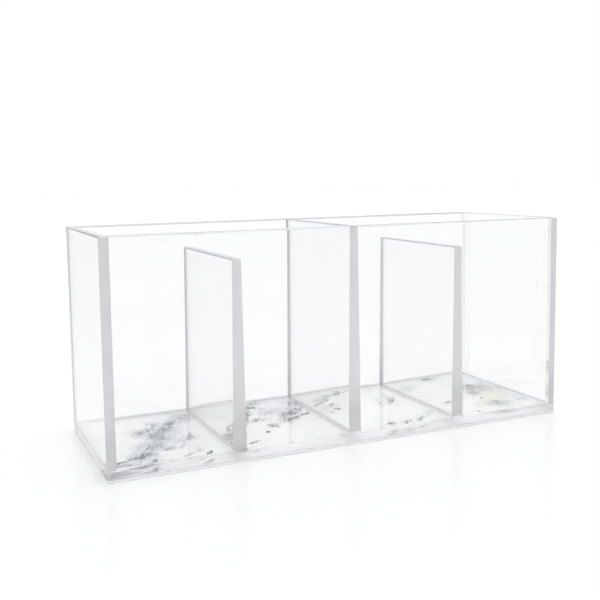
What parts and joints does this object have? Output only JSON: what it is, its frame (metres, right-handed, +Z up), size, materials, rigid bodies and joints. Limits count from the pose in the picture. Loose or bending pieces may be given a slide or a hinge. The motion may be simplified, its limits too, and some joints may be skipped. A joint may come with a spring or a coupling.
{
  "type": "makeup brush holder",
  "caption": "Open-topped clear acrylic desk holder with a row of compartments, tapered dividers and a marble-print base, for standing brushes and pencils in.",
  "frame": {"origin": "under the middle of the base, on the surface that the holder stands on", "axes": "+X along the row of compartments to the right, +Y to the back, +Z up out of the open top"},
  "size_m": [0.229, 0.078, 0.1],
  "materials": {
    "clear_acrylic": "clear cast acrylic with polished edges",
    "marble_print": "white marble print with blue-grey clouds and dark thin veins"
  },
  "bodies": {
    "root": {"marble_sheet": "marble_print", "base_plate": "clear_acrylic", "front_panel": "clear_acrylic", "back_panel": "clear_acrylic", "left_end_panel": "clear_acrylic", "right_end_panel": "clear_acrylic", "left_divider": "clear_acrylic", "centre_divider": "clear_acrylic", "right_divider": "clear_acrylic"}
  },
  "joints": []
}
